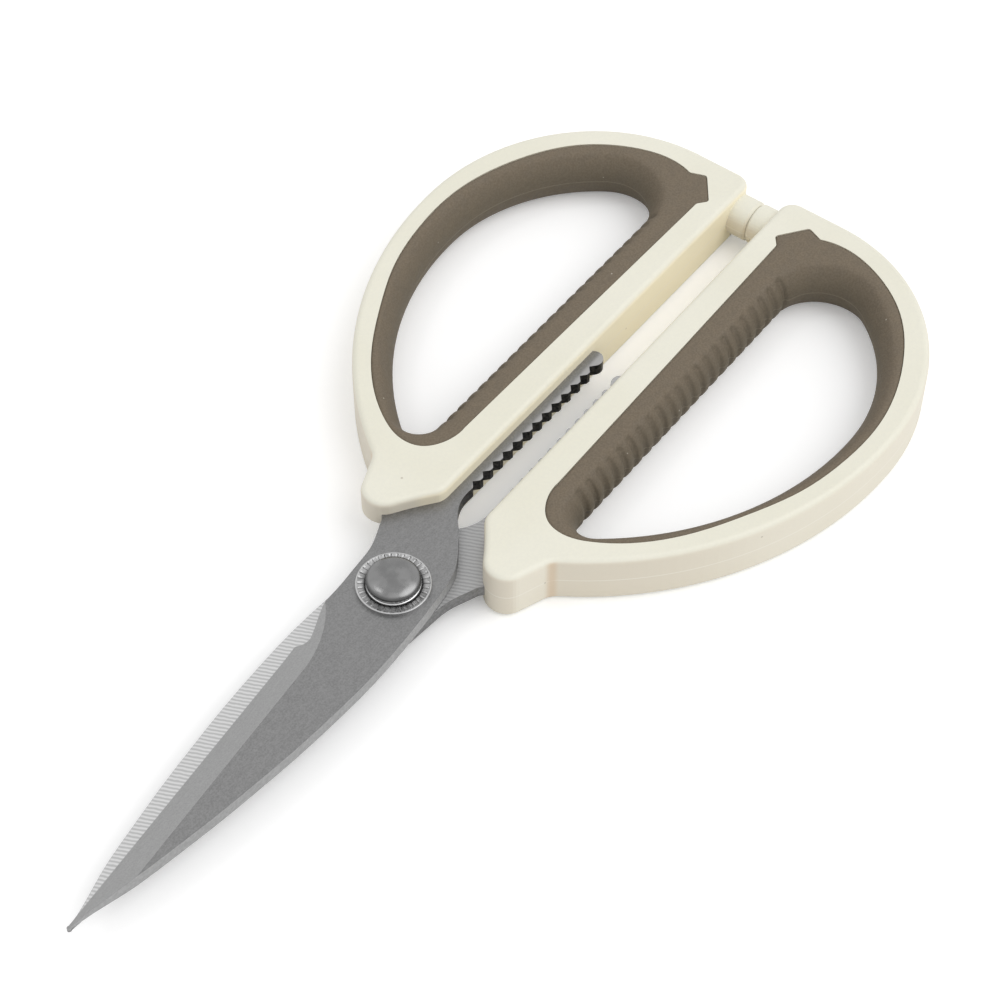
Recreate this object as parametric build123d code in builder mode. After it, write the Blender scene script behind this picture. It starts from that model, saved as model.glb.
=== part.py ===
"""Kitchen shears: two bevelled steel blades, moulded handles with soft grips, and a domed pivot bolt.

The frame has +X towards the blade tips, +Y towards the rear handle and +Z up from the table.
Outlines are drawn around the pivot, and the rear half is the front half turned over about X.
"""
from build123d import *
from math import atan2, cos, degrees, sin, sqrt
import os

# Overall sizes in mm, reaches and half widths measured from the pivot axis
blade_reach = 90.6
handle_reach = 129.3
handle_half_width = 57.8
handle_thickness = 12.0
overrun = 2.0

# Blades
blade_thickness = 2.8
blade_gap = 0.1
spine_height = 9.95
belly_height = 8.0
edge_height = 6.9
edge_start = 21.2
edge_land = 0.3
tip_height = 0.7
bevel_width = 5.3
wheel_radius = 18.7
wheel_at = 25.8
wheel_turn = 60

# Spine from the tip to the neck, as shares of blade_reach and spine_height
spine_shares = [
    (0.928, 0.166), (0.872, 0.312), (0.762, 0.505), (0.651, 0.668), (0.541, 0.795),
    (0.428, 0.905), (0.331, 0.965), (0.221, 1.000), (0.110, 0.968), (0.000, 0.885), (-0.083, 0.775),
]
# Neck from the pivot eye down to the jaw, as shares of jaw_start and spine_height
neck_shares = [
    (0.370, 0.700), (0.556, 0.392), (0.674, 0.150), (0.750, -0.035), (0.815, -0.155), (0.905, -0.240),
]
# Belly from the handle's ear to the notch, as shares of ear_reach and belly_height
belly_shares = [
    (0.84, 1.375), (0.60, 1.235), (0.42, 1.155), (0.00, 1.085), (-0.46, 1.025), (-0.94, 1.000),
]
# Finger notch between the belly and the cutting edge, as shares of edge_start and edge_height
notch_shares = [
    (0.613, 1.065), (0.722, 0.928), (0.816, 0.812), (0.882, 0.757), (0.934, 0.790), (0.972, 0.899),
]
# Root of the blade inside the handle, as shares of ear_reach and ear_height
root_shares = [(2.00, 1.00), (1.60, 1.20), (1.20, 1.15), (1.00, 1.00)]

# Jaws on the tangs, whose gaps are measured between the tooth tips with the shears closed
jaw_start = 27.0
jaw_end = 71.5
jaw_gap_front = 5.0
jaw_gap_rear = 3.5
tooth_start = 29.1
tooth_count = 13
tooth_pitch = 3.17
tooth_depth = 1.0
tooth_mouth = 2.3
lobe_back = 0.9

# Tang inside the handle, with holes that the moulding fills
tang_reach = 101.0
tang_cover = 1.5
tang_height = 3.6
tang_hole_radius = 1.2
tang_hole_count = 3

# Handle shells, whose outer wall is a quarter ellipse at the heel and an arc along the flank
face_gap_front = 11.2
face_gap_rear = 9.0
heel_length = 43.3
heel_width = 39.4
waist_reach = 20.8
waist_height = 21.8
waist_radius = 5.0
ear_reach = 10.9
ear_height = 11.7
ear_radius = 4.6
brow_radius = 4.0
corner_radius = 3.4
edge_radius = 1.3
# Point of the ear before rounding, then the brow's middle and end, as shares of ear_reach and ear_height
brow_shares = [(0.44, 1.325), (1.60, 0.71), (1.99, 0.425)]

# Soft grips, each filling a field of its handle that lies between the rims and the tang
front_rim = 6.4
rear_rim = 5.0
side_rim = 4.3
tang_wall = 0.7
# Grip outline from the straight side round the nose to the rear tab, as shares of the field
grip_shares = [
    (0.101, 0.004), (0.040, 0.033), (0.008, 0.101), (0.000, 0.201), (0.021, 0.337), (0.060, 0.467),
    (0.160, 0.672), (0.262, 0.808), (0.377, 0.927), (0.492, 0.986), (0.561, 1.000), (0.644, 0.990),
    (0.707, 0.958), (0.799, 0.875), (0.899, 0.722), (0.974, 0.478), (0.996, 0.274), (0.986, 0.144),
]
# Corners of the grip's rear tab, as shares of the field
tab_shares = [(1.000, 0.063), (0.936, -0.047), (0.914, -0.007)]
tab_radius = 0.8

# Finger openings, narrowest at mid height
straight_thickness = 6.6
far_thickness = 4.4
opening_heel_radius = 9.3
opening_nose_radius = 3.6
# Front corner, far side and rear corner of the opening before rounding, as shares of the field's length
opening_shares = (0.014, 0.580, 0.965)
crown = 3.0
# Heights of the opening's sections, as shares of handle_thickness
section_shares = [0.0, 0.5, 1.0]
skin = 2.3
key_height = 3.0
rib_pitch = 3.35
rib_margin = 2.6
rib_groove = 1.6
rib_depth = 0.8

# Closing stops near the rear ends
stop_radius = 4.5
stop_inset = 5.3
stop_root = 7.0
stop_clearance = 0.1
stop_bevel = 0.5

# Pivot bolt, washers and nut
shank_radius = 3.0
running_clearance = 0.05
head_radius = 5.35
head_edge = 2.0
head_bead = 0.3
head_dome = 1.0
washer_radius = 7.3
washer_thickness = 0.85
washer_sink = 0.35
washer_clearance = 0.1
serration_count = 34
serration_width = 0.45
serration_depth = 0.25
serration_length = 1.2
back_washer_radius = 6.6
back_washer_thickness = 0.6
nut_radius = 5.0
nut_thickness = 1.9
nut_bevel = 0.4
slot_width = 1.0
slot_depth = 0.6

# Places worked out from the sizes
pivot_x = (handle_reach - blade_reach) / 2
mid_z = handle_thickness / 2
blade_bottom = mid_z + blade_gap / 2
blade_top = blade_bottom + blade_thickness
turn_axis = Axis((0, 0, mid_z), (1, 0, 0))
pivot_axis = Axis((pivot_x, 0, 0), (0, 0, 1))


def level(z):
    """Horizontal plane at height z with its origin on the pivot axis."""
    return Plane((pivot_x, 0, z))


def placed(shares, x_size, y_size):
    """Points on the front handle's side of the pivot from a table of shares."""
    return [(-x * x_size, -y * y_size) for x, y in shares]


def face_y(x):
    """Inner face of the front handle at x, from the rear gap to the front gap."""
    along = (x + handle_reach) / (handle_reach - jaw_start)
    return -(face_gap_rear + (face_gap_front - face_gap_rear) * along) / 2


def jaw_y(x):
    """Line of the tooth tips of the front jaw at x."""
    along = (x + jaw_end) / (jaw_end - jaw_start)
    return -(jaw_gap_rear + (jaw_gap_front - jaw_gap_rear) * along) / 2


def turned_over(part):
    """The same piece on the other half of the shears."""
    return part.rotate(turn_axis, 180)


def heading(start, end):
    """Direction from one point to another in degrees, from 0 to 360."""
    return degrees(atan2(end[1] - start[1], end[0] - start[0])) % 360


def tang_y(x):
    """Lower edge of the front handle's tang at x."""
    return face_y(x) - tang_cover - tang_height


def field_x(share):
    """Place along the grip's field, from its front end."""
    return -field_start - share * (handle_reach - rear_rim - field_start)


def in_field(shares):
    """Points in the grip's field from shares of its length and of its width."""
    points = []
    for x_share, y_share in shares:
        x = field_x(x_share)
        near = tang_y(x) - tang_wall
        points.append((x, near + y_share * (side_rim - handle_half_width - near)))
    return points


def far_radius(corner_x):
    """Radius of an arc that runs level at the opening's far side and ends at a corner on its near side."""
    rise = opening_near - opening_far
    return ((corner_x - field_x(opening_shares[1])) ** 2 + rise**2) / (2 * rise)


def inner_centre(centre, radius, inner_radius, side):
    """Centre of a circle that touches the opening's near side and, from inside, a larger circle."""
    y = opening_near - inner_radius
    reach = radius - inner_radius
    return (centre[0] + side * sqrt(reach**2 - (y - centre[1]) ** 2), y)


def opening_line(grow):
    """Outline of the finger opening, moved outwards by grow, as a line and four tangent arcs."""
    heel_turn = heading(rear_centre, heel_centre)
    nose_turn = heading(front_centre, nose_centre)
    Line((nose_centre[0], opening_near + grow), (heel_centre[0], opening_near + grow))
    CenterArc(heel_centre, opening_heel_radius + grow, 90, heel_turn - 90)
    CenterArc(rear_centre, rear_radius + grow, heel_turn, 270 - heel_turn)
    CenterArc(front_centre, front_radius + grow, 270, nose_turn - 270)
    CenterArc(nose_centre, opening_nose_radius + grow, nose_turn, 450 - nose_turn)


# Blade of the front half without its pivot hole, its flat inner side at blade_bottom
edge_begin = (edge_start, -edge_height)
edge_end = (blade_reach - tip_height, -tip_height / 2)
spine_end = (blade_reach - tip_height, tip_height / 2)
edge_turn = atan2(edge_end[1] - edge_begin[1], edge_end[0] - edge_begin[0])
spine = [(x * blade_reach, y * spine_height) for x, y in spine_shares]
neck = [(-x * jaw_start, y * spine_height) for x, y in neck_shares]
belly = placed(belly_shares, ear_reach, belly_height)
notch = [(x * edge_start, -y * edge_height) for x, y in notch_shares]
root = placed(root_shares, ear_reach, ear_height)
jaw_front = (-jaw_start, jaw_y(-jaw_start))
tooth_line = []
for index in range(tooth_count):
    valley = -tooth_start - index * tooth_pitch
    tooth_line.append((valley + tooth_mouth / 2, jaw_y(valley)))
    tooth_line.append((valley, jaw_y(valley) - tooth_depth))
    tooth_line.append((valley - tooth_mouth / 2, jaw_y(valley)))
lobe_tip = (-jaw_end, (jaw_y(-jaw_end) + face_y(-jaw_end)) / 2)
lobe_root = (lobe_back - jaw_end, face_y(lobe_back - jaw_end))
with BuildPart() as blade_blank:
    with BuildSketch(level(blade_bottom)):
        with BuildLine():
            Spline(spine_end, *spine, *neck, jaw_front)
            Polyline(jaw_front, *tooth_line)
            ThreePointArc(tooth_line[-1], lobe_tip, lobe_root)
            Polyline(
                lobe_root,
                (lobe_root[0], lobe_root[1] - tang_cover),
                (-tang_reach, face_y(-tang_reach) - tang_cover),
                (-tang_reach, tang_y(-tang_reach)),
                (-jaw_start, tang_y(-jaw_start)),
                *root,
            )
            Spline(root[-1], *belly)
            Spline(belly[-1], *notch, edge_begin)
            Line(edge_begin, edge_end)
            ThreePointArc(edge_end, (blade_reach, 0), spine_end)
        make_face()
    extrude(amount=blade_thickness)
    with BuildSketch(level(blade_bottom)):
        for index in range(tang_hole_count):
            hole_x = -jaw_start - (index + 1) * (tang_reach - jaw_start) / (tang_hole_count + 1)
            with Locations((hole_x, face_y(hole_x) - tang_cover - tang_height / 2)):
                Circle(tang_hole_radius)
    extrude(amount=blade_thickness, mode=Mode.SUBTRACT)

# Wedge that grinds the bevel, drawn across the edge where the grinding wheel leaves it
along = (wheel_at - edge_start) / cos(edge_turn)
wheel_touch = (edge_start + along * cos(edge_turn), -edge_height + along * sin(edge_turn))
wheel_centre = (
    wheel_touch[0] + wheel_radius * sin(edge_turn),
    wheel_touch[1] - wheel_radius * cos(edge_turn),
)
wheel_axis = Axis((pivot_x + wheel_centre[0], wheel_centre[1], 0), (0, 0, 1))
across_edge = Plane(
    (pivot_x + wheel_touch[0], wheel_touch[1], blade_bottom),
    x_dir=(-sin(edge_turn), cos(edge_turn), 0),
    z_dir=(cos(edge_turn), sin(edge_turn), 0),
)
bevel_slope = (blade_thickness - edge_land) / bevel_width
with BuildPart() as blade_shape:
    add(blade_blank.part)
    with BuildSketch(across_edge) as wedge:
        with BuildLine():
            Polyline(
                (-overrun, edge_land),
                (0, edge_land),
                (bevel_width + overrun, blade_thickness + overrun * bevel_slope),
                (-overrun, blade_thickness + overrun * bevel_slope),
                close=True,
            )
        make_face()
    extrude(wedge.sketch, amount=blade_reach - wheel_at + overrun, mode=Mode.SUBTRACT)
    revolve(wedge.sketch, axis=wheel_axis, revolution_arc=wheel_turn, mode=Mode.SUBTRACT)

with BuildPart() as front_blade:
    add(blade_shape.part)
    with BuildSketch(level(0)):
        Circle(shank_radius)
    extrude(amount=handle_thickness, mode=Mode.SUBTRACT)

with BuildPart() as rear_blade:
    add(turned_over(blade_shape.part))
    with BuildSketch(level(0)):
        Circle(shank_radius + running_clearance)
    extrude(amount=handle_thickness, mode=Mode.SUBTRACT)

# Finger opening, whose near side lies below the tang and its far side inside the shell's rim
field_start = waist_reach + front_rim
opening_near = tang_y(-field_start) - tang_wall - straight_thickness
opening_far = side_rim + far_thickness - handle_half_width
rear_radius = far_radius(field_x(opening_shares[2]))
front_radius = far_radius(field_x(opening_shares[0]))
rear_centre = (field_x(opening_shares[1]), opening_far + rear_radius)
front_centre = (field_x(opening_shares[1]), opening_far + front_radius)
heel_centre = inner_centre(rear_centre, rear_radius, opening_heel_radius, -1)
nose_centre = inner_centre(front_centre, front_radius, opening_nose_radius, 1)

# Soft grip before its opening is cut, with a waist at mid height that the shell's key fills
with BuildPart() as grip_blank:
    with BuildSketch(level(0)):
        with BuildLine():
            grip_points = in_field(grip_shares)
            tab_points = in_field(tab_shares)
            Spline(*grip_points)
            Polyline(grip_points[-1], *tab_points, grip_points[0])
        make_face()
        for corner in tab_points:
            fillet(vertices().sort_by_distance(corner)[0], radius=tab_radius)
    extrude(amount=handle_thickness)
    with BuildSketch(level(mid_z - key_height / 2)):
        with BuildLine():
            Polyline(
                (-handle_reach, 0),
                (0, 0),
                (0, -handle_half_width),
                (-handle_reach, -handle_half_width),
                close=True,
            )
        make_face()
        with BuildLine():
            opening_line(skin)
        make_face(mode=Mode.SUBTRACT)
    extrude(amount=key_height, mode=Mode.SUBTRACT)

# Finger opening, crowned so that it widens towards both faces
with BuildPart() as finger_opening:
    for share in section_shares:
        with BuildSketch(level(share * handle_thickness)):
            with BuildLine():
                opening_line(crown * (1 - sqrt(1 - (2 * share - 1) ** 2)))
            make_face()
    loft()

# Rib grooves across the straight side, the last of them where the heel begins to turn
rib_start = nose_centre[0] - rib_margin
rib_count = int((rib_start - heel_centre[0]) / rib_pitch) + 2
rib_planes = []
for index in range(rib_count):
    rib_place = (pivot_x + rib_start - index * rib_pitch, opening_near + crown, mid_z)
    rib_planes.append(Plane(rib_place, x_dir=(0, 1, 0), z_dir=(1, 0, 0)))
with BuildPart() as front_grip:
    add(grip_blank.part)
    add(finger_opening.part, mode=Mode.SUBTRACT)
    with BuildSketch(*rib_planes):
        Rectangle(crown + overrun, handle_thickness, align=(Align.MAX, Align.CENTER))
        with BuildLine():
            ThreePointArc((0, rib_depth - mid_z), (rib_depth - crown, 0), (0, mid_z - rib_depth))
            Line((0, mid_z - rib_depth), (0, rib_depth - mid_z))
        make_face(mode=Mode.SUBTRACT)
    extrude(amount=rib_groove / 2, both=True, mode=Mode.SUBTRACT)

# Handle shell with its closing stop, filled in around the tang
ear_point, brow_middle, brow_end = placed(brow_shares, ear_reach, ear_height)
rear_corner = (-handle_reach, face_y(-handle_reach))
waist = (-waist_reach, -waist_height)
far_point = (heel_length - handle_reach, -handle_half_width)
heel_middle = (far_point[0], heel_width - handle_half_width)
stop_x = pivot_x + stop_inset - handle_reach
with BuildPart() as front_handle:
    with BuildSketch(level(0)):
        with BuildLine():
            Polyline(brow_end, rear_corner, (-handle_reach, heel_middle[1]))
            EllipticalCenterArc(heel_middle, heel_length, heel_width, start_angle=180, arc_size=90)
            TangentArc(far_point, waist, tangent=(1, 0))
            Line(waist, ear_point)
            ThreePointArc(ear_point, brow_middle, brow_end)
        make_face()
        fillet(vertices().sort_by_distance(ear_point)[0], radius=ear_radius)
        fillet(vertices().sort_by_distance(waist)[0], radius=waist_radius)
        fillet(vertices().sort_by_distance(brow_end)[0], radius=brow_radius)
        fillet(vertices().sort_by_distance(rear_corner)[0], radius=corner_radius)
    extrude(amount=handle_thickness)
    flats = front_handle.faces().sort_by(Axis.Z)
    fillet(flats[-1].edges() + flats[0].edges(), radius=edge_radius)
    with BuildSketch(Plane((stop_x, -stop_root, mid_z), x_dir=(1, 0, 0), z_dir=(0, 1, 0))):
        Circle(stop_radius)
    extrude(amount=stop_root - stop_clearance / 2)
    stop_end = front_handle.faces().sort_by(Axis.Y)[-1]
    chamfer(stop_end.edges(), length=stop_bevel)
    add(grip_blank.part, mode=Mode.SUBTRACT)
    add(front_blade.part, mode=Mode.SUBTRACT)

with BuildPart() as rear_handle:
    add(turned_over(front_handle.part))

with BuildPart() as rear_grip:
    add(turned_over(front_grip.part))

# Serrated washer under the bolt head, its inner seat sunk below the ring that carries the serrations
washer_seat = washer_thickness - washer_sink
washer_shelf = head_radius + washer_clearance
serration_middle = (washer_shelf + washer_radius) / 2
with BuildPart() as serrated_washer:
    with BuildSketch(Plane((pivot_x, 0, blade_top), x_dir=(1, 0, 0), z_dir=(0, -1, 0))):
        with BuildLine():
            Polyline(
                (shank_radius, 0),
                (washer_radius, 0),
                (washer_radius, washer_thickness),
                (washer_shelf, washer_thickness),
                (washer_shelf, washer_seat),
                (shank_radius, washer_seat),
                close=True,
            )
        make_face()
    revolve(axis=pivot_axis)
    with BuildSketch(level(blade_top + washer_thickness)):
        with PolarLocations(serration_middle, serration_count):
            Rectangle(serration_length, serration_width)
    extrude(amount=-serration_depth, mode=Mode.SUBTRACT)

# Pivot bolt, whose shank ends at the floor of the nut's slot
head_bottom = blade_top + washer_seat
dome_base = head_bottom + head_edge
nut_top = mid_z - blade_gap / 2 - blade_thickness - blade_gap / 2 - back_washer_thickness
nut_bottom = nut_top - nut_thickness
shank_end = nut_bottom + slot_depth
dome_radius = head_radius - 2 * head_bead
with BuildPart() as pivot_bolt:
    with BuildSketch(Plane((pivot_x, 0, 0), x_dir=(1, 0, 0), z_dir=(0, -1, 0))):
        with BuildLine():
            Polyline(
                (0, dome_base + head_dome),
                (0, shank_end),
                (shank_radius, shank_end),
                (shank_radius, head_bottom),
                (head_radius, head_bottom),
                (head_radius, dome_base - head_bead),
                (head_radius - head_bead, dome_base),
                (dome_radius, dome_base),
            )
            RadiusArc(
                (dome_radius, dome_base),
                (0, dome_base + head_dome),
                -(dome_radius**2 + head_dome**2) / (2 * head_dome),
            )
        make_face()
    revolve(axis=pivot_axis)

with BuildPart() as back_washer:
    with BuildSketch(level(nut_top)):
        Circle(back_washer_radius)
        Circle(shank_radius, mode=Mode.SUBTRACT)
    extrude(amount=back_washer_thickness)

with BuildPart() as pivot_nut:
    with BuildSketch(level(nut_bottom)):
        Circle(nut_radius)
        Circle(shank_radius, mode=Mode.SUBTRACT)
    extrude(amount=nut_thickness)
    underside = pivot_nut.faces().sort_by(Axis.Z)[0]
    chamfer(underside.outer_wire().edges(), length=nut_bevel)
    with BuildSketch(level(nut_bottom)):
        Rectangle(2 * nut_radius, slot_width)
    extrude(amount=slot_depth, mode=Mode.SUBTRACT)

os.makedirs("parts", exist_ok=True)
front_blade.part.label = "front_blade"
rear_blade.part.label = "rear_blade"
front_handle.part.label = "front_handle"
rear_handle.part.label = "rear_handle"
front_grip.part.label = "front_grip"
rear_grip.part.label = "rear_grip"
pivot_bolt.part.label = "pivot_bolt"
serrated_washer.part.label = "serrated_washer"
back_washer.part.label = "back_washer"
pivot_nut.part.label = "pivot_nut"
export_step(front_blade.part, "parts/front_blade.step")
export_step(rear_blade.part, "parts/rear_blade.step")
export_step(front_handle.part, "parts/front_handle.step")
export_step(rear_handle.part, "parts/rear_handle.step")
export_step(front_grip.part, "parts/front_grip.step")
export_step(rear_grip.part, "parts/rear_grip.step")
export_step(pivot_bolt.part, "parts/pivot_bolt.step")
export_step(serrated_washer.part, "parts/serrated_washer.step")
export_step(back_washer.part, "parts/back_washer.step")
export_step(pivot_nut.part, "parts/pivot_nut.step")
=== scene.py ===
# %% [markdown]
# # Dressing a pair of kitchen shears
# The CAD model already holds every piece at its real size. This file gives each piece its finish,
# remakes the bolt, the washer and the two rubber grips in finer detail, draws back the lower half of one
# ear, and sets up the studio. It is a lesson in short cells: each step says what the thing is on the real
# shears, how it could be made, and why this way was chosen.

# %% Load the frame
import math
import bpy
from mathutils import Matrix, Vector
from mathutils.bvhtree import BVHTree


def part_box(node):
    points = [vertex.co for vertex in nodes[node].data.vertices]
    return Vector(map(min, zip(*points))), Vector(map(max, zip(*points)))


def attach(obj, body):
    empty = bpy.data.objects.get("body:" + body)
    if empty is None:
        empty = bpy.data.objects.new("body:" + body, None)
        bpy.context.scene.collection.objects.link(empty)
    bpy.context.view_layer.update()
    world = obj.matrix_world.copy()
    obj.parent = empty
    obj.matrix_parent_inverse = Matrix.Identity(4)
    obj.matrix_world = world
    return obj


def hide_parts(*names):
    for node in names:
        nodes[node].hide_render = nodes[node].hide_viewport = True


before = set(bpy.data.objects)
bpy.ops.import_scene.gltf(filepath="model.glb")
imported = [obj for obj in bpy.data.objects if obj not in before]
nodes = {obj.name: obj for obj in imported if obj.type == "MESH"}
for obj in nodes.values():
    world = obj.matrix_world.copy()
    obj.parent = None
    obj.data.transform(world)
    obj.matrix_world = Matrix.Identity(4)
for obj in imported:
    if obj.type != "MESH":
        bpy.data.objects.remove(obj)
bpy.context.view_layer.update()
MM = 0.001
print("pieces:", ", ".join(sorted(nodes)))

# %% [markdown]
# ## Where things are
# Patterns and stains are placed on the object, so a few places are read from the frame once: the pivot,
# the parting plane between the two halves, and the heights of the bolt and its washer. Reading them is
# safer than typing them, because they then follow the CAD if a size changes.

# %% Places read from the frame
bolt_low, bolt_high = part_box("pivot_bolt")
washer_low, washer_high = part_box("serrated_washer")
blade_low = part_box("front_blade")[0]
rear_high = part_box("rear_blade")[1]
pivot_x = (bolt_low.x + bolt_high.x) / 2
parting_z = (blade_low.z + rear_high.z) / 2
print("pivot at x =", round(pivot_x / MM, 2), "mm, parting plane at z =", round(parting_z / MM, 2), "mm")

# %% [markdown]
# ## Camera
# The photograph looks down at the shears from beyond the tips' right side. The lens is long, as in most
# product pictures, so the shears hardly taper with distance. A camera can be aimed by a constraint or by
# its rotation; the rotation is used, because the viewing angle is what was measured.

# %% Camera at the photograph's angle
azimuth = math.radians(127.1)
elevation = math.radians(51.5)
towards_camera = Vector((
    math.sin(azimuth) * math.cos(elevation),
    -math.cos(azimuth) * math.cos(elevation),
    math.sin(elevation),
))
camera_data = bpy.data.cameras.new("camera")
camera_data.sensor_width = 36
camera_data.lens = 92.8
camera_data.clip_start = 0.01
camera = bpy.data.objects.new("camera", camera_data)
camera.location = (0.2397, 0.1919, 0.4013)
camera.rotation_mode = "QUATERNION"
camera.rotation_quaternion = (-towards_camera).to_track_quat("-Z", "Y")
bpy.context.scene.collection.objects.link(camera)
bpy.context.scene.camera = camera
print("camera stands", round(camera.location.length, 3), "m from the origin")

# %% [markdown]
# ## Building materials from nodes
# Every finish here is a small network of nodes in front of one Principled shader. A few helpers keep the
# cells short: one adds a node and plugs it in, one mixes two colours, one turns a measured value, such as
# a height, into a soft mask between 0 and 1, and one puts a finish on a piece.

# %% Helpers that add nodes
def new_material(name, metallic, roughness):
    """An empty finish with its shader, whose even values are set on the shader itself."""
    made = bpy.data.materials.new(name)
    made.use_nodes = True
    shader = made.node_tree.nodes["Principled BSDF"]
    shader.inputs["Metallic"].default_value = metallic
    shader.inputs["Roughness"].default_value = roughness
    return made, shader


def add_node(material, kind, inputs, **settings):
    """A node whose inputs are either plain values or the outputs of other nodes."""
    made = material.node_tree.nodes.new(kind)
    for name, value in settings.items():
        setattr(made, name, value)
    for key, value in inputs.items():
        if isinstance(value, bpy.types.NodeSocket):
            material.node_tree.links.new(value, made.inputs[key])
        else:
            made.inputs[key].default_value = value
    return made


def calc(material, operation, first, second=0.0):
    """The result of one sum, product or comparison."""
    return add_node(material, "ShaderNodeMath", {0: first, 1: second}, operation=operation).outputs[0]


def soft_mask(material, value, low, high):
    """A mask that rises smoothly from 0 at low to 1 at high."""
    inputs = {"Value": value, "From Min": low, "From Max": high}
    return add_node(material, "ShaderNodeMapRange", inputs, interpolation_type="SMOOTHSTEP").outputs[0]


def scaled(material, value, low, high):
    """A 0 to 1 value stretched to run from low to high."""
    inputs = {"Value": value, "To Min": low, "To Max": high}
    return add_node(material, "ShaderNodeMapRange", inputs).outputs[0]


def grey(level):
    """A neutral colour as the node sockets want it."""
    return (level, level, level, 1)


def mix_colour(material, share, first, second):
    """The first colour with the second mixed over it by a share."""
    return add_node(material, "ShaderNodeMix", {0: share, 6: first, 7: second}, data_type="RGBA").outputs[2]


def tint(material, base, mask, strength, colour):
    """The base colour with a tint laid over it where the mask is, no stronger than strength."""
    return mix_colour(material, calc(material, "MULTIPLY", mask, strength), base, colour)


def dress(piece, finish):
    """Give a piece one finish in place of whatever it wore."""
    piece.data.materials.clear()
    piece.data.materials.append(finish)


print("node helpers ready")

# %% [markdown]
# ## Patterns and places
# The next helpers make what the finishes share: cloudy noise, sparse specks of dirt or dust, relief, and
# the place and slope of the surface. All of them read Object coordinates or the true normal, so a pattern
# stays on the piece from whatever side it is seen.

# %% Helpers for patterns
def noise(material, place, scale, detail=2.0):
    """Cloudy grey noise, its scale in ripples per metre."""
    inputs = {"Vector": place, "Scale": scale, "Detail": detail}
    return add_node(material, "ShaderNodeTexNoise", inputs).outputs[0]


def specks(material, place, scale, size):
    """A mask of sparse round specks, scale in cells per metre and size as a share of a cell."""
    cells = add_node(material, "ShaderNodeTexVoronoi", {"Vector": place, "Scale": scale})
    near = soft_mask(material, cells.outputs["Distance"], size, size * 0.5)
    chosen = add_node(material, "ShaderNodeSeparateColor", {0: cells.outputs["Color"]}).outputs[0]
    return calc(material, "MULTIPLY", near, soft_mask(material, chosen, 0.90, 0.92))


def bump(material, shader, height, distance, strength, below=None):
    """Relief on the surface, distance in metres from the lowest to the highest of height."""
    inputs = {"Height": height, "Distance": distance, "Strength": strength}
    if below is not None:
        inputs["Normal"] = below
    made = add_node(material, "ShaderNodeBump", inputs).outputs[0]
    material.node_tree.links.new(made, shader.inputs["Normal"])
    return made


def object_place(material):
    """Object coordinates and their three parts."""
    place = add_node(material, "ShaderNodeTexCoord", {}).outputs["Object"]
    parts = add_node(material, "ShaderNodeSeparateXYZ", {0: place})
    return place, parts.outputs["X"], parts.outputs["Y"], parts.outputs["Z"]


def surface_slope(material):
    """How level the surface is, from 0 on a wall to 1 on a flat, and how far it faces along X and Y."""
    normal = add_node(material, "ShaderNodeNewGeometry", {}).outputs["True Normal"]
    parts = add_node(material, "ShaderNodeSeparateXYZ", {0: normal})
    return calc(material, "ABSOLUTE", parts.outputs["Z"]), parts.outputs["X"], parts.outputs["Y"]


def parting_line(material, z, half_width):
    """A mask along the line where the two mould halves met."""
    height = calc(material, "ABSOLUTE", calc(material, "SUBTRACT", z, parting_z))
    return soft_mask(material, height, half_width, half_width * 0.4)


def plane_distance(material, along, across):
    """How far a place is from a point, by its distances along and across the shears."""
    first = calc(material, "POWER", along, 2.0)
    second = calc(material, "POWER", across, 2.0)
    return calc(material, "SQRT", calc(material, "ADD", first, second))


print("pattern helpers ready")

# %% [markdown]
# ## Cream moulded plastic
# The two handle shells are a hard plastic with a soft gloss. A flat cream looks like clay, so a few small
# marks are added: a slow drift of tint, painted shade that makes the walls a little darker and warmer than
# the faces, a painted yellow bounce light on the two walls that face each other, a browner painted shade on
# the walls that face the tips, dark specks of dirt, and a brown painted shade in the crease of each waist.

# %% Handle plastic
waist_x = pivot_x - 20.8 * MM
waist_y = 21.8 * MM
crease_shade_spread = (1.7 * MM, 0.2 * MM)
facing_inwards = (-1.0 * MM, -3.5 * MM)
beside_gap = (9.0 * MM, 7.0 * MM)


def waist_crease_shade(material, x, y, wall):
    """A mask of painted shade in the crease, on the walls of both waists."""
    across = calc(material, "SUBTRACT", calc(material, "ABSOLUTE", y), waist_y)
    along = calc(material, "SUBTRACT", x, waist_x)
    spot = soft_mask(material, plane_distance(material, along, across), *crease_shade_spread)
    return calc(material, "MULTIPLY", spot, wall)


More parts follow.
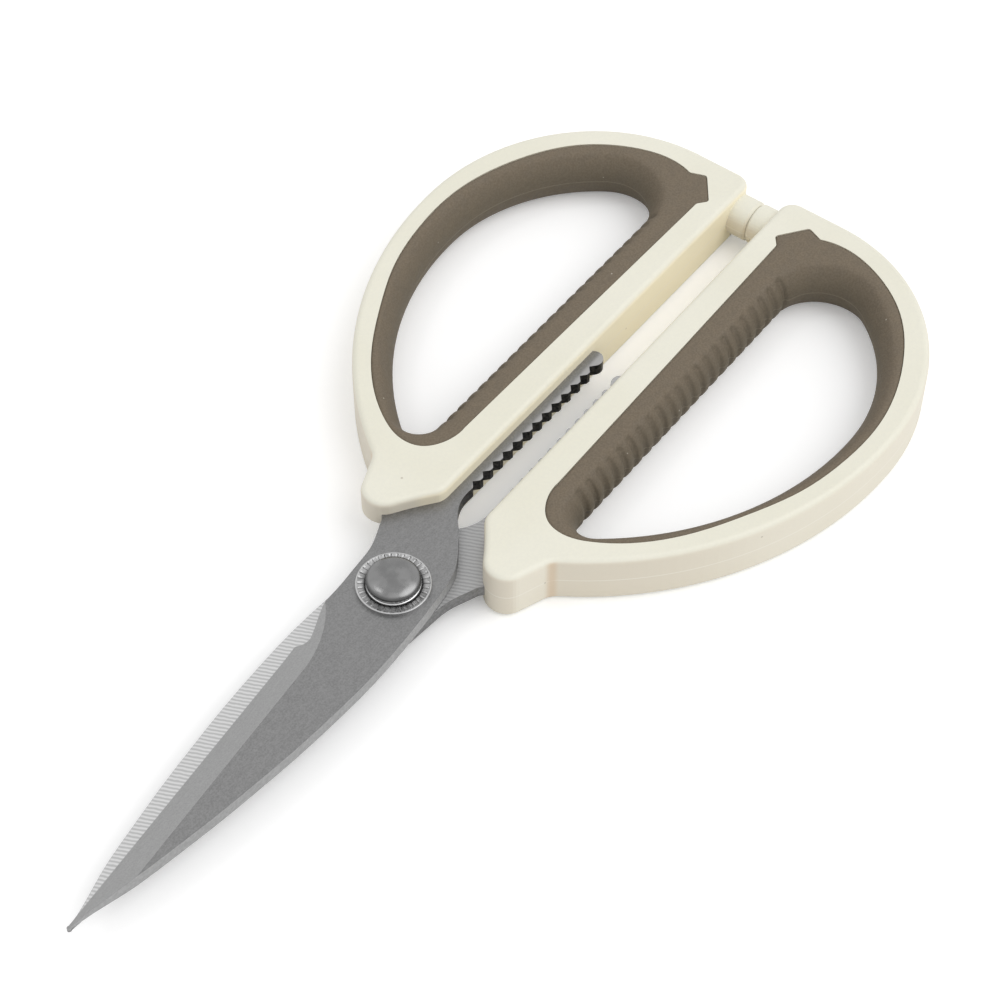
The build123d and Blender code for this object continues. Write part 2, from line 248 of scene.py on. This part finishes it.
def cream_plastic():
    """The finish of the handle shells."""
    material, shader = new_material("handle_cream", 0.0, 0.42)
    place, x, y, z = object_place(material)
    level, forwards, sideways = surface_slope(material)
    drift = soft_mask(material, noise(material, place, 38, 3), 0.35, 0.65)
    grain = soft_mask(material, noise(material, place, 1700), 0.3, 0.7)
    colour = mix_colour(material, drift, (0.800, 0.778, 0.655, 1), (0.826, 0.806, 0.692, 1))
    colour = tint(material, colour, grain, 0.07, grey(0.55))
    wall = soft_mask(material, level, 0.75, 0.25)
    # painted shade: the walls come out a little darker and warmer than the faces
    colour = tint(material, colour, wall, 0.45, (0.775, 0.700, 0.580, 1))
    # painted yellow bounce light on the two walls that face each other across the gap
    inwards = soft_mask(material, calc(material, "MULTIPLY", sideways, y), *facing_inwards)
    gap_side = soft_mask(material, calc(material, "ABSOLUTE", y), *beside_gap)
    painted_bounce_light = calc(material, "MULTIPLY", calc(material, "MULTIPLY", inwards, gap_side), wall)
    colour = tint(material, colour, painted_bounce_light, 0.9, (0.960, 0.890, 0.685, 1))
    # painted shade: walls that face the tips are made browner
    tip_facing_shade = calc(material, "MULTIPLY", soft_mask(material, forwards, 0.35, 0.75), wall)
    colour = tint(material, colour, tip_facing_shade, 0.4, (0.640, 0.560, 0.440, 1))
    line = calc(material, "MULTIPLY", parting_line(material, z, 0.17 * MM), wall)
    colour = tint(material, colour, line, 0.5, (0.90, 0.87, 0.79, 1))
    # painted shade in the crease of each waist
    colour = tint(material, colour, waist_crease_shade(material, x, y, wall), 0.5, (0.62, 0.44, 0.27, 1))
    colour = tint(material, colour, specks(material, place, 190, 0.06), 0.5, (0.34, 0.28, 0.20, 1))
    material.node_tree.links.new(colour, shader.inputs["Base Color"])
    material.node_tree.links.new(scaled(material, drift, 0.38, 0.48), shader.inputs["Roughness"])
    bump(material, shader, grain, 0.01 * MM, 0.35)
    return material


handle_cream = cream_plastic()
for name in ("front_handle", "rear_handle"):
    dress(nodes[name], handle_cream)
print("handles wear", handle_cream.name)

# %% [markdown]
# ## Studio
# A pale floor, a white room and one wide soft lamp light the shears plainly, so that each colour comes
# out about as it is written. The room shows white to the camera and in the steel, but lights a little
# less than that, which leaves room for the lamp to draw the forms. The lamp is a sun with a wide disc: it
# stands infinitely far away, so a long flat blade reflects the same tone from end to end. A weak second
# sun with a narrower disc stands across from it. The floor glows slightly to the camera, which makes it
# white like paper while its shadows stay.

# %% Floor
floor_drop = 0.1 * MM
floor_glow_strength = 0.20
bpy.ops.object.select_all(action="DESELECT")
bpy.ops.mesh.primitive_plane_add(size=8, location=(0, 0, -floor_drop))
floor = bpy.context.object
floor.name = "floor"
floor_white, floor_shader = new_material("floor_white", 0.0, 0.9)
floor_shader.inputs["Base Color"].default_value = grey(0.94)
floor_shader.inputs["Specular IOR Level"].default_value = 0.0
floor_shader.inputs["Emission Color"].default_value = grey(1)
floor_rays = add_node(floor_white, "ShaderNodeLightPath", {}).outputs["Is Camera Ray"]
floor_glow = calc(floor_white, "MULTIPLY", floor_rays, floor_glow_strength)
floor_white.node_tree.links.new(floor_glow, floor_shader.inputs["Emission Strength"])
floor.data.materials.append(floor_white)
print("floor is", round(floor.dimensions.x, 1), "m wide")

# %% White room
light_level = 0.74
seen_level = 1.0
room = bpy.data.worlds.new("room")
bpy.context.scene.world = room
room.use_nodes = True
room_light = room.node_tree.nodes["Background"]
room_light.inputs["Color"].default_value = grey(1)
rays = add_node(room, "ShaderNodeLightPath", {}).outputs
direct = calc(room, "ADD", rays["Is Camera Ray"], rays["Is Glossy Ray"])
seen_white = calc(room, "MINIMUM", calc(room, "ADD", direct, rays["Is Transmission Ray"]), 1.0)
room.node_tree.links.new(scaled(room, seen_white, light_level, seen_level), room_light.inputs["Strength"])
bpy.context.scene.view_settings.view_transform = "Standard"


# %% Lamps
def soft_sun(name, direction, strength, disc):
    """A lamp infinitely far away, disc being the width of its bright disc in degrees."""
    data = bpy.data.lights.new(name, "SUN")
    data.energy = strength
    data.angle = math.radians(disc)
    lamp = bpy.data.objects.new(name, data)
    lamp.location = direction
    lamp.rotation_mode = "QUATERNION"
    lamp.rotation_quaternion = Vector(direction).to_track_quat("Z", "Y")
    bpy.context.scene.collection.objects.link(lamp)


soft_sun("key_lamp", (-0.25, 0.55, 0.80), 0.95, 50)
soft_sun("accent_lamp", (0.22, -0.43, 0.85), 0.12, 13)
print("lamps ready")

# %% [markdown]
# ## Blade steel
# The blades are stamped and then ground. Each side of a blade is worked another way: the outer face is an
# even fine satin, the bevel is ground and also painted brighter as a reflection, the inner face keeps the
# marks of the wheel that made it flat, and the stamped walls stay rough and dark, painted nearly black as
# shade in the narrow gap between the jaws. A painted highlight brightens the flats along the teeth. One
# material tells these apart by height, by how level the surface is, and by the distance from the pivot.

# %% Blade steel
grind_turn = math.radians(25)
grind_pitch = 0.8 * MM
past_bolt = (pivot_x - 2 * MM, pivot_x + 12 * MM)
ground_skin = (0.3 * MM, 0.1 * MM)
jaw_begins = (pivot_x - 9 * MM, pivot_x - 13 * MM)
teeth_begin = (pivot_x - 27 * MM, pivot_x - 29 * MM)
tooth_highlight_band = (3.5 * MM, 2.6 * MM)
tooth_walls = (8.5 * MM, 7.0 * MM)
between_blades = (parting_z - 0.05 * MM, parting_z + 0.05 * MM)


def wheel_marks(material, place):
    """Lines that the grinding wheel left across the inner face."""
    turned = add_node(material, "ShaderNodeMapping", {"Vector": place, "Rotation": (0, 0, -grind_turn)})
    wave = {"Vector": turned.outputs[0], "Scale": math.tau / (20 * grind_pitch), "Distortion": 1.4,
            "Detail": 3.0, "Detail Scale": 2.0}
    return add_node(material, "ShaderNodeTexWave", wave, bands_direction="X").outputs["Fac"]


def blade_faces(material, place, x, z, level, brushed, grain):
    """Outer face, bevel and inner face."""
    brushed_share = scaled(material, brushed, 0.0, 0.25)
    share = calc(material, "ADD", brushed_share, scaled(material, grain, 0.0, 0.75))
    satin = mix_colour(material, share, grey(0.205), grey(0.280))
    # the bevel's lighter grey is partly its grind and partly a painted reflection
    bevel = mix_colour(material, share, grey(0.305), grey(0.385))
    marks = wheel_marks(material, place)
    strip = mix_colour(material, marks, grey(0.45), grey(0.66))
    root = mix_colour(material, marks, grey(0.32), grey(0.43))
    past_pivot = soft_mask(material, x, *past_bolt)
    from_middle = calc(material, "ABSOLUTE", calc(material, "SUBTRACT", z, parting_z))
    inner = soft_mask(material, from_middle, *ground_skin)
    outer = mix_colour(material, soft_mask(material, level, 0.95, 0.98), bevel, satin)
    ground = mix_colour(material, past_pivot, root, strip)
    return mix_colour(material, inner, outer, ground), calc(material, "MULTIPLY", marks, inner)


def blade_steel():
    """The finish of both blades, with their jaws."""
    material, shader = new_material("blade_steel", 1.0, 0.42)
    place, x, y, z = object_place(material)
    level = surface_slope(material)[0]
    stretched = add_node(material, "ShaderNodeMapping", {"Vector": place, "Scale": (500, 3000, 3000)})
    brushed = soft_mask(material, noise(material, stretched.outputs[0], 1.0, 3), 0.3, 0.7)
    grain = soft_mask(material, noise(material, place, 3200), 0.3, 0.7)
    faces, relief = blade_faces(material, place, x, z, level, brushed, grain)
    # jaws: walls dark from their finish and painted nearly black as shade, and a painted highlight on the
    # flats at the teeth
    from_centre = calc(material, "ABSOLUTE", y)
    jaw = soft_mask(material, x, *jaw_begins)
    toothed = soft_mask(material, x, *teeth_begin)
    # painted highlight on the flats along the teeth
    tips = calc(material, "MULTIPLY", soft_mask(material, from_centre, *tooth_highlight_band), toothed)
    faces = tint(material, faces, tips, 0.55, grey(0.52))
    # jaw walls: dark from their rough stamped finish, and painted nearly black as shade of the narrow gap
    dark = calc(material, "MULTIPLY", jaw, soft_mask(material, from_centre, *tooth_walls))
    patches = soft_mask(material, noise(material, place, 1500), 0.3, 0.7)
    black = mix_colour(material, patches, grey(0.045), grey(0.105))
    upper = mix_colour(material, patches, grey(0.395), grey(0.465))
    lower = mix_colour(material, patches, grey(0.205), grey(0.285))
    above = soft_mask(material, z, *between_blades)
    walls = mix_colour(material, dark, mix_colour(material, above, lower, upper), black)
    wall = soft_mask(material, level, 0.6, 0.4)
    colour = mix_colour(material, wall, faces, walls)
    material.node_tree.links.new(colour, shader.inputs["Base Color"])
    material.node_tree.links.new(scaled(material, grain, 0.36, 0.48), shader.inputs["Roughness"])
    scratches = bump(material, shader, brushed, 0.003 * MM, 0.25)
    bump(material, shader, relief, 0.02 * MM, 0.6, scratches)
    return material


blade_finish = blade_steel()
for name in ("front_blade", "rear_blade"):
    dress(nodes[name], blade_finish)
print("blades wear", blade_finish.name)

# %% [markdown]
# ## Pivot steel
# The bolt and its washers are turned on a lathe and plated, so their fine marks run in circles round the
# pivot. A wave of rings gives that, where a straight brushing would look wrong as the eye goes round the
# dome. On the bolt a painted dark reflection lines the dome's edge and a painted highlight brightens the
# flange. On the washer painted shade darkens the sunk ring by height and the part near the head by distance
# from the axis, and a painted highlight brightens the outer rim.

# %% Pivot steel
turning_pitch = 0.22 * MM
dome_edge_reflection_ring = (4.7 * MM, 5.15 * MM)
bead_highlight_heights = (bolt_high.z - 1.75 * MM, bolt_high.z - 1.85 * MM)
sunk_heights = (washer_high.z - 0.10 * MM, washer_high.z - 0.30 * MM)
shaded_ring = (6.3 * MM, 5.6 * MM)
rim_highlight_ring = (6.95 * MM, 7.1 * MM)


def turned_steel(name, dark, light, roughness, cloud_scale):
    """Steel with circles round the pivot; the caller may paint shade and highlights over its colour."""
    material, shader = new_material(name, 1.0, roughness)
    place, x, y, z = object_place(material)
    centred = add_node(material, "ShaderNodeMapping", {"Vector": place, "Location": (-pivot_x, 0, 0)})
    wave = {"Vector": centred.outputs[0], "Scale": math.tau / (20 * turning_pitch), "Distortion": 2.0,
            "Detail": 2.0}
    settings = {"wave_type": "RINGS", "rings_direction": "Z"}
    rings = add_node(material, "ShaderNodeTexWave", wave, **settings).outputs["Fac"]
    clouds = soft_mask(material, noise(material, place, cloud_scale, 3), 0.35, 0.65)
    rings_share = scaled(material, rings, 0.0, 0.25)
    share = calc(material, "ADD", rings_share, scaled(material, clouds, 0.0, 0.75))
    colour = mix_colour(material, share, grey(dark), grey(light))
    material.node_tree.links.new(scaled(material, clouds, roughness - 0.04, roughness + 0.06),
                                 shader.inputs["Roughness"])
    bump(material, shader, rings, 0.0015 * MM, 0.2)
    from_axis = plane_distance(material, calc(material, "SUBTRACT", x, pivot_x), y)
    return material, shader, colour, from_axis, z


bolt_finish, shader, colour, distance, z = turned_steel("bolt_steel", 0.185, 0.270, 0.26, 260)
# painted dark reflection round the edge of the dome
dome_edge_reflection = soft_mask(bolt_finish, distance, *dome_edge_reflection_ring)
colour = tint(bolt_finish, colour, dome_edge_reflection, 0.7, grey(0.06))
# painted highlight on the flange under the dome
bead_highlight = soft_mask(bolt_finish, z, *bead_highlight_heights)
colour = tint(bolt_finish, colour, bead_highlight, 0.9, grey(0.70))
bolt_finish.node_tree.links.new(colour, shader.inputs["Base Color"])

washer_finish, shader, colour, distance, z = turned_steel("washer_steel", 0.28, 0.44, 0.30, 900)
# painted shade in the sunk ring of the washer
sunk_shade = soft_mask(washer_finish, z, *sunk_heights)
colour = tint(washer_finish, colour, sunk_shade, 0.85, grey(0.06))
shaded = soft_mask(washer_finish, distance, *shaded_ring)
colour = tint(washer_finish, colour, shaded, 0.65, grey(0.07))
# painted highlight along the washer's outer rim
rim_highlight = soft_mask(washer_finish, distance, *rim_highlight_ring)
colour = tint(washer_finish, colour, rim_highlight, 0.6, grey(0.62))
washer_finish.node_tree.links.new(colour, shader.inputs["Base Color"])
print("turned steel ready")

# %% [markdown]
# ## Turned pieces
# A lathe makes the bolt and the washer, and Blender can copy a lathe in two ways: spin a profile, or
# start with a circle and extrude it step by step while scaling it. The second is used, because each
# step then reads like a line of a drawing: this radius at this height.

# %% A lathe made of extrusions
same_point = 0.0005 * MM


def start_piece(name, radius, height, sides, fill):
    """A circle round the pivot, ready to be extruded."""
    bpy.ops.object.select_all(action="DESELECT")
    centre = (pivot_x, 0, height)
    bpy.ops.mesh.primitive_circle_add(vertices=sides, radius=radius, fill_type=fill, location=centre)
    piece = bpy.context.object
    piece.name = name
    bpy.ops.object.transform_apply(location=True, rotation=True, scale=True)
    bpy.ops.object.mode_set(mode="EDIT")
    bpy.ops.mesh.select_all(action="SELECT")
    return piece


def lathe_step(extrude, radius, height, to_radius, to_height):
    """Extrude what is selected to a new height and scale it to a new radius."""
    extrude(TRANSFORM_OT_translate={"value": (0, 0, to_height - height)})
    share = to_radius / radius
    bpy.ops.transform.resize(value=(share, share, 1), center_override=(pivot_x, 0, to_height))


def finish_piece(piece, finish, node_name, body, sharp):
    """Close the piece, smooth it up to an angle in degrees, dress it and put it in its node's place."""
    bpy.ops.mesh.select_all(action="SELECT")
    bpy.ops.mesh.remove_doubles(threshold=same_point)
    bpy.ops.mesh.normals_make_consistent(inside=False)
    bpy.ops.object.mode_set(mode="OBJECT")
    bpy.ops.object.shade_smooth_by_angle(angle=math.radians(sharp))
    piece.data.materials.append(finish)
    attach(piece, body)
    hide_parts(node_name)
    print(piece.name, "has", len(piece.data.polygons), "faces")


print("lathe ready")

# %% [markdown]
# ## Domed bolt
# The bolt head is a low dome that stands on a narrow flange, with a fine groove between the two; a painted
# highlight brightens the flange.
# The profile below goes up the shank, out under the head, round the flange, in at the groove, and over
# the dome, whose last small circle is merged to close the pole.

# %% Turn the bolt
bolt_sides = 96
shank_radius = 3.0 * MM
head_radius = (bolt_high.x - bolt_low.x) / 2
seat_z = washer_high.z - 0.35 * MM
dome_radius = head_radius - 0.06 * MM
dome_z = bolt_high.z - 1.55 * MM
bolt_profile = [
    (shank_radius, bolt_low.z), (shank_radius, seat_z), (head_radius - 0.15 * MM, seat_z),
    (head_radius, seat_z + 0.12 * MM), (head_radius, seat_z + 0.42 * MM),
    (head_radius - 0.08 * MM, seat_z + 0.52 * MM),
    (head_radius - 0.30 * MM, seat_z + 0.58 * MM), (head_radius - 0.34 * MM, seat_z + 0.66 * MM),
    (head_radius - 0.30 * MM, seat_z + 0.74 * MM), (head_radius - 0.10 * MM, seat_z + 0.80 * MM),
    (head_radius - 0.02 * MM, seat_z + 0.90 * MM), (head_radius - 0.02 * MM, seat_z + 1.10 * MM),
    (dome_radius, dome_z - 0.10 * MM),
]
dome_steps = 16
first_turn = 6
for step in range(dome_steps):
    turn = math.radians(first_turn + (90 - first_turn) * step / dome_steps)
    bolt_profile.append((dome_radius * math.cos(turn), dome_z + (bolt_high.z - dome_z) * math.sin(turn)))
bolt_piece = start_piece("domed_bolt", *bolt_profile[0], bolt_sides, "NGON")
for (radius, height), (to_radius, to_height) in zip(bolt_profile, bolt_profile[1:]):
    lathe_step(bpy.ops.mesh.extrude_region_move, radius, height, to_radius, to_height)
bpy.ops.mesh.merge(type="CENTER")
bpy.ops.transform.translate(value=(0, 0, bolt_high.z - bolt_profile[-1][1]))
finish_piece(bolt_piece, bolt_finish, "pivot_bolt", "front", 40)

# %% [markdown]
# ## Serrated washer
# The washer under the head has a sunk seat and a ring of radial teeth that bite when the bolt is set.
# The ring is turned as an open band and closed on itself. Its teeth come from one edit: on the two
# circles that bound the toothed ring every fourth point is pushed down, so that a fine groove parts
# each tooth from the next.

# %% Turn the washer and press its teeth
tooth_total = 34
points_per_tooth = 4
tooth_press = 0.16 * MM
ring_tolerance = 0.02 * MM
washer_radius = (washer_high.x - washer_low.x) / 2
top_z = washer_high.z
washer_profile = [
    (washer_radius, washer_low.z), (washer_radius, top_z - 0.10 * MM), (washer_radius - 0.10 * MM, top_z),
    (washer_radius - 0.32 * MM, top_z), (washer_radius - 0.42 * MM, top_z - 0.05 * MM),
    (head_radius + 0.36 * MM, top_z - 0.09 * MM), (head_radius + 0.10 * MM, seat_z),
    (shank_radius, seat_z), (shank_radius, washer_low.z), (washer_radius, washer_low.z),
]
washer_piece = start_piece("toothed_washer", *washer_profile[0], tooth_total * points_per_tooth, "NOTHING")
for (radius, height), (to_radius, to_height) in zip(washer_profile, washer_profile[1:]):
    lathe_step(bpy.ops.mesh.extrude_edges_move, radius, height, to_radius, to_height)
bpy.ops.object.mode_set(mode="OBJECT")
tooth_rings = [washer_profile[4][0], washer_profile[5][0]]
pressed = 0
for vertex in washer_piece.data.vertices:
    radius = math.hypot(vertex.co.x - pivot_x, vertex.co.y)
    angle = math.atan2(vertex.co.y, vertex.co.x - pivot_x) % math.tau
    place_in_tooth = round(angle / math.tau * tooth_total * points_per_tooth) % points_per_tooth
    on_ring = min(abs(radius - ring) for ring in tooth_rings) < ring_tolerance
    vertex.select = on_ring and place_in_tooth == 0
    pressed += vertex.select
bpy.context.tool_settings.mesh_select_mode = (True, False, False)
bpy.ops.object.mode_set(mode="EDIT")
bpy.ops.transform.translate(value=(0, 0, -tooth_press))
print("teeth pressed from", pressed, "points")
finish_piece(washer_piece, washer_finish, "serrated_washer", "front", 30)

# %% [markdown]
# ## Nut and back washer
# Under the shears the bolt ends in a slotted nut on a plain washer. Their CAD shapes are already right,
# so they only get a finish.

# %% Finish the underside
nut_finish, shader, colour, *_ = turned_steel("nut_steel", 0.26, 0.44, 0.30, 500)
nut_finish.node_tree.links.new(colour, shader.inputs["Base Color"])
for name in ("pivot_nut", "back_washer"):
    dress(nodes[name], nut_finish)
print("nut and back washer wear", nut_finish.name)

# %% [markdown]
# ## Soft rubber
# The grips are a dull brown rubber moulded over the shells. Rubber has almost no gloss and a fine pebbled
# skin. Here its flats are a lighter tan, and painted shade makes the ribbed hollow darker and olive. Dust
# clings to it, so it gets a few pale specks.

# %% Grip rubber
def grip_rubber():
    """The finish of both grips."""
    material, shader = new_material("grip_rubber", 0.0, 0.72)
    place, *_, z = object_place(material)
    level = surface_slope(material)[0]
    mottle = soft_mask(material, noise(material, place, 420, 3), 0.3, 0.7)
    fine = soft_mask(material, noise(material, place, 2600), 0.3, 0.7)
    mottle_share = scaled(material, mottle, 0.0, 0.35)
    share = calc(material, "ADD", mottle_share, scaled(material, fine, 0.0, 0.65))
    colour = mix_colour(material, share, (0.128, 0.101, 0.068, 1), (0.186, 0.148, 0.103, 1))
    wall = soft_mask(material, level, 0.85, 0.2)
    # painted shade: the walls of the ribbed hollow are made darker and olive
    colour = tint(material, colour, wall, 0.38, (0.115, 0.101, 0.068, 1))
    line = calc(material, "MULTIPLY", parting_line(material, z, 0.2 * MM), wall)
    colour = tint(material, colour, line, 0.3, (0.30, 0.26, 0.19, 1))
    colour = tint(material, colour, specks(material, place, 420, 0.09), 0.6, (0.62, 0.58, 0.50, 1))
    material.node_tree.links.new(colour, shader.inputs["Base Color"])
    material.node_tree.links.new(scaled(material, mottle, 0.62, 0.8), shader.inputs["Roughness"])
    pebbles = bump(material, shader, fine, 0.03 * MM, 0.5)
    bump(material, shader, line, 0.06 * MM, 0.6, pebbles)
    return material


rubber_finish = grip_rubber()
print("grip rubber ready")

# %% [markdown]
# ## Soft grips
# The CAD grips have the right size, but their ribs are cut square and real rubber has no sharp edge. A
# bevel can't round the hundreds of short edges where the grooves meet the crowned hollow. So each grip
# is copied, its loose triangles are merged, it is rebuilt as an even skin of small faces, and that skin
# is smoothed until the edges melt, as they do in a rubber mould. The mouth of the opening is smoothed
# further, so that the flats roll softly into the hollow and the ribs fade out there.

# %% Copy a CAD piece and merge its triangles
def merged_copy(node_name, new_name):
    """A copy of a CAD piece in which the triangles share their points."""
    piece = nodes[node_name].copy()
    piece.data = nodes[node_name].data.copy()
    piece.name = new_name
    piece.parent = None
    for key in list(piece.keys()):
        if key.startswith("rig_"):
            del piece[key]
    bpy.context.scene.collection.objects.link(piece)
    bpy.ops.object.select_all(action="DESELECT")
    piece.select_set(True)
    bpy.context.view_layer.objects.active = piece
    bpy.ops.object.mode_set(mode="EDIT")
    bpy.ops.mesh.select_all(action="SELECT")
    bpy.ops.mesh.remove_doubles(threshold=0.002 * MM)
    bpy.ops.object.mode_set(mode="OBJECT")
    print(piece.name, "starts with", len(piece.data.vertices), "points")
    return piece


# %% Rebuild a grip as an even skin
skin_step = 0.345 * MM
melt_rounds = 5


def grip_skin(node_name):
    """A grip rebuilt from small even faces, its sharp edges melted."""
    piece = merged_copy(node_name, node_name + "_moulding")
    skin = piece.modifiers.new("skin", "REMESH")
    skin.mode = "VOXEL"
    skin.voxel_size = skin_step
    bpy.ops.object.modifier_apply(modifier=skin.name)
    melt = piece.modifiers.new("melt", "SMOOTH")
    melt.factor = 0.5
    melt.iterations = melt_rounds
    bpy.ops.object.modifier_apply(modifier=melt.name)
    return piece


# %% Roll the mouth of the opening
mouth_depth = 1.0 * MM
shell_reach = 1.1 * MM
roll_rounds = 14


def roll_mouth(piece, handle_name):
    """Smooth the points near both faces again, apart from those beside the shell."""
    shell = BVHTree.FromObject(nodes[handle_name], bpy.context.evaluated_depsgraph_get())
    low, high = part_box(handle_name)
    chosen = 0
    for vertex in piece.data.vertices:
        depth = min(vertex.co.z - low.z, high.z - vertex.co.z)
        beside = shell.find_nearest(vertex.co, shell_reach)[0] is not None
        vertex.select = depth < mouth_depth and not beside
        chosen += vertex.select
    bpy.context.tool_settings.mesh_select_mode = (True, False, False)
    bpy.ops.object.mode_set(mode="EDIT")
    bpy.ops.mesh.vertices_smooth(factor=0.5, repeat=roll_rounds)
    bpy.ops.object.mode_set(mode="OBJECT")
    print(piece.name, "mouth rolled at", chosen, "points")


# %% Make both grips
for node_name, handle_name, body in (
    ("front_grip", "front_handle", "front"),
    ("rear_grip", "rear_handle", "rear"),
):
    moulding = grip_skin(node_name)
    roll_mouth(moulding, handle_name)
    bpy.ops.object.shade_smooth()
    dress(moulding, rubber_finish)
    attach(moulding, body)
    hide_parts(node_name)
    print(moulding.name, "has", len(moulding.data.polygons), "faces")

# %% [markdown]
# ## Step under the front ear
# From above, the ear of the front handle ends at the blade: only its upper half reaches out over the
# steel, and the lower half stops short of it. The CAD ear runs through both halves. Two cuts, one at the
# parting plane and one just below it, give the copy new rows of points. The lower row and all that lies
# under it are drawn back towards the waist by scaling them along X. A cut with a block would do too, but
# this keeps the rounded edges. A merged mesh shades its flats unevenly, so the outlines of all flats and
# walls are marked sharp.

# %% Keep flats and walls evenly shaded
def sharpen_outline(piece, low, high):
    """Mark the outline of the faces whose normal rises by an amount between low and high."""
    bpy.context.tool_settings.mesh_select_mode = (False, False, True)
    bpy.ops.object.mode_set(mode="EDIT")
    bpy.ops.mesh.select_all(action="DESELECT")
    bpy.ops.object.mode_set(mode="OBJECT")
    for face in piece.data.polygons:
        face.select = low <= abs(face.normal.z) <= high
    bpy.ops.object.mode_set(mode="EDIT")
    bpy.ops.mesh.region_to_loop()
    bpy.ops.mesh.mark_sharp()
    bpy.ops.object.mode_set(mode="OBJECT")


# %% Draw back the lower half of the ear
ledge = 0.25 * MM
drawn_share = 0.5
flat_faces = (0.9999, 1.0)
upright_faces = (0.0, 0.01)
shell = merged_copy("front_handle", "front_shell")
bpy.ops.object.mode_set(mode="EDIT")
for cut_z in (parting_z, parting_z - ledge):
    bpy.ops.mesh.select_all(action="SELECT")
    bpy.ops.mesh.bisect(plane_co=(0, 0, cut_z), plane_no=(0, 0, 1))
bpy.ops.mesh.select_all(action="DESELECT")
bpy.ops.object.mode_set(mode="OBJECT")
drawn = 0
for vertex in shell.data.vertices:
    vertex.select = vertex.co.z < parting_z - ledge / 2 and vertex.co.x > waist_x
    drawn += vertex.select
bpy.context.tool_settings.mesh_select_mode = (True, False, False)
bpy.ops.object.mode_set(mode="EDIT")
bpy.ops.transform.resize(value=(drawn_share, 1, 1), center_override=(waist_x, 0, 0))
bpy.ops.object.mode_set(mode="OBJECT")
bpy.ops.mesh.customdata_custom_splitnormals_clear()
sharpen_outline(shell, *flat_faces)
sharpen_outline(shell, *upright_faces)
bpy.ops.object.shade_smooth_by_angle(angle=math.radians(35))
dress(shell, handle_cream)
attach(shell, "front")
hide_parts("front_handle")
print("ear drawn back at", drawn, "points")
